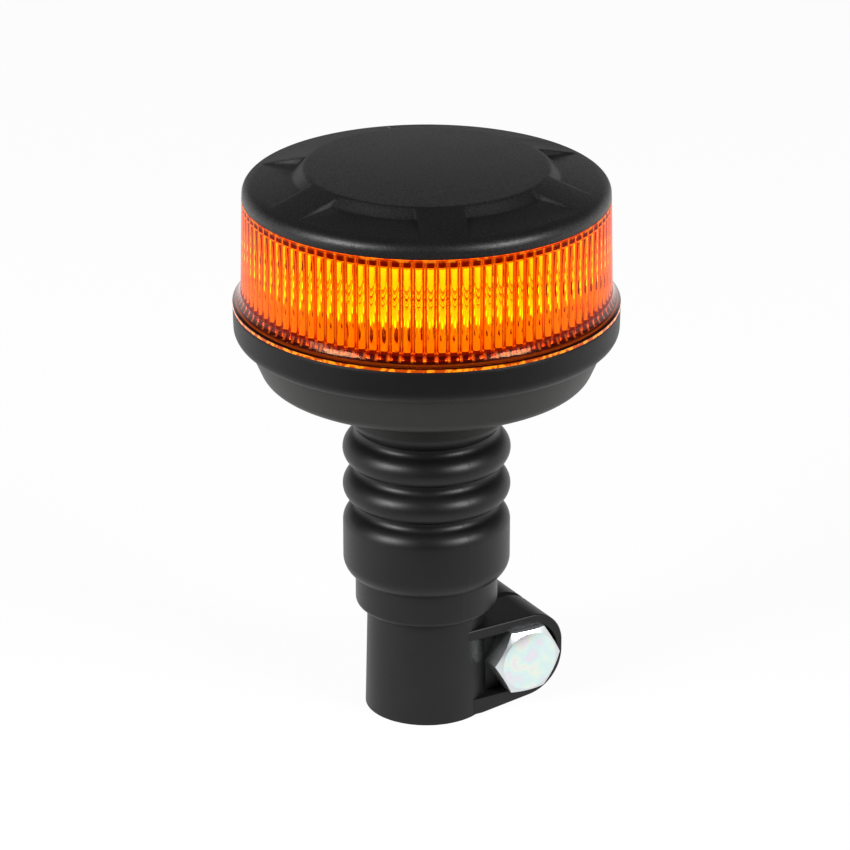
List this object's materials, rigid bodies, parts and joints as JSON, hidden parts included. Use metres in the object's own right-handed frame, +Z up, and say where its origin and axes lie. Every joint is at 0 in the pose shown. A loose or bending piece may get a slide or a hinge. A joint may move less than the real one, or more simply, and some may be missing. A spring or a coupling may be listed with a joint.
{
  "type": "led beacon",
  "caption": "Low round amber LED warning beacon with a fluted lens and black cap, on a flexible rubber bellows stem over a pinch-clamp socket for a pole spigot.",
  "frame": {"origin": "centre of the spigot socket's mouth", "axes": "+Z up along the socket's axis towards the lamp head, +X towards the clamp lug, -Y towards the bolt head"},
  "size_m": [0.0978, 0.0978, 0.1476],
  "materials": {
    "black_textured_plastic": "satin with a fine spark-eroded grain",
    "black_smooth_plastic": "smooth satin",
    "socket_plastic": "smooth matte",
    "stem_rubber": "matte with a soft sheen",
    "amber_lens": "clear polished amber",
    "seal_rubber": "matte",
    "reflector_bright": "thin bright metal film on white",
    "board_white": "white solder mask",
    "board_green": "green solder mask",
    "led_amber": "clear resin",
    "sink_aluminium": "plain",
    "screw_steel": "bright zinc",
    "capacitor_sleeve": "shrunk sleeve",
    "choke_ferrite": "matte ferrite",
    "chip_black": "moulded epoxy",
    "resistor_glaze": "glazed",
    "zinc_steel": "bright zinc with a faint rainbow passivation",
    "carrier_nylon": "natural nylon",
    "contact_brass": "turned",
    "spring_steel": "drawn wire",
    "lead_red": "extruded insulation",
    "lead_black": "extruded insulation"
  },
  "bodies": {
    "socket": {"clamp_socket": "socket_plastic", "clamp_bolt": "zinc_steel", "clamp_washer": "zinc_steel", "contact_carrier": "carrier_nylon", "contact_spring": "spring_steel", "terminal_plate": "contact_brass", "earth_ring": "contact_brass", "carrier_screws": "screw_steel"},
    "contact": {"centre_contact": "contact_brass"},
    "nut": {"clamp_nut": "zinc_steel"},
    "stem": {"flex_stem": "stem_rubber", "live_lead": "lead_red", "return_lead": "lead_black"},
    "head": {"top_cap": "black_textured_plastic", "cap_gasket": "seal_rubber", "lens": "amber_lens", "lens_gasket": "seal_rubber", "reflector": "reflector_bright", "led_board": "board_white", "leds": "led_amber", "board_chips": "chip_black", "board_resistors": "resistor_glaze", "heat_sink": "sink_aluminium", "board_screws": "screw_steel", "head_screws": "screw_steel", "base_housing": "black_textured_plastic", "driver_board": "board_green", "driver_screws": "screw_steel", "driver_capacitors": "capacitor_sleeve", "driver_choke": "choke_ferrite", "driver_chips": "chip_black", "mount_adapter": "black_smooth_plastic", "adapter_gasket": "seal_rubber", "adapter_screws": "screw_steel", "stem_bush": "zinc_steel", "stem_washer": "zinc_steel", "stem_nut": "zinc_steel"}
  },
  "joints": [
    {"name": "stem_bend_side", "type": "hinge", "parent": "socket", "child": "stem", "pos_m": [0, 0, 0.05675], "axis": [1, 0, 0], "range_deg": [-25, 25], "stiffness_Nm_per_rad": 8, "deforming": ["flex_stem", "live_lead", "return_lead"]},
    {"name": "stem_bend_fore", "type": "hinge", "parent": "stem", "child": "head", "pos_m": [0, 0, 0.0767], "axis": [0, 1, 0], "range_deg": [-25, 25], "stiffness_Nm_per_rad": 8, "deforming": ["flex_stem", "live_lead", "return_lead"]},
    {"name": "contact_plunge", "type": "slide", "parent": "socket", "child": "contact", "axis": [0, 0, 1], "range_m": [0, 0.0025], "stiffness_N_per_m": 400, "springref_m": -0.002, "deforming": ["contact_spring"]},
    {"name": "nut_turn", "type": "hinge", "parent": "socket", "child": "nut", "pos_m": [0.021, 0.021, 0.013], "axis": [0, 1, 0], "continuous": true}
  ]
}
